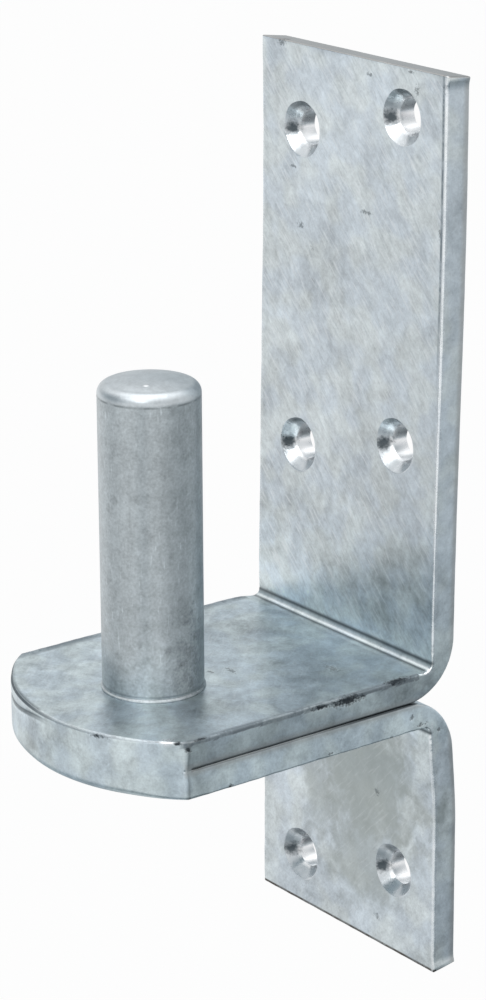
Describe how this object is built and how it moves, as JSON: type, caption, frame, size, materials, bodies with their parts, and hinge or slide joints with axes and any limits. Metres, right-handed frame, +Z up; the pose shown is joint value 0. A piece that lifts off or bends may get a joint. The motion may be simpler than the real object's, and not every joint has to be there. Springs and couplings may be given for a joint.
{
  "type": "gate hinge pin",
  "caption": "Round hinge pin riveted through the stacked arms of bent flat bars that turn up and down against a post, with countersunk screw holes.",
  "frame": {"origin": "on the pin's axis at the top face of the upper arm, where the gate's eye rests", "axes": "+X along the plates' width, +Y out of the back faces into the post, +Z up the pin"},
  "size_m": [0.045, 0.0641, 0.1464],
  "materials": {
    "plate_zinc": "satin galvanised zinc on rolled steel bar",
    "pin_zinc": "satin galvanised zinc on drawn round bar"
  },
  "bodies": {
    "root": {"upper_bracket": "plate_zinc", "lower_bracket": "plate_zinc", "hinge_pin": "pin_zinc"}
  },
  "joints": []
}
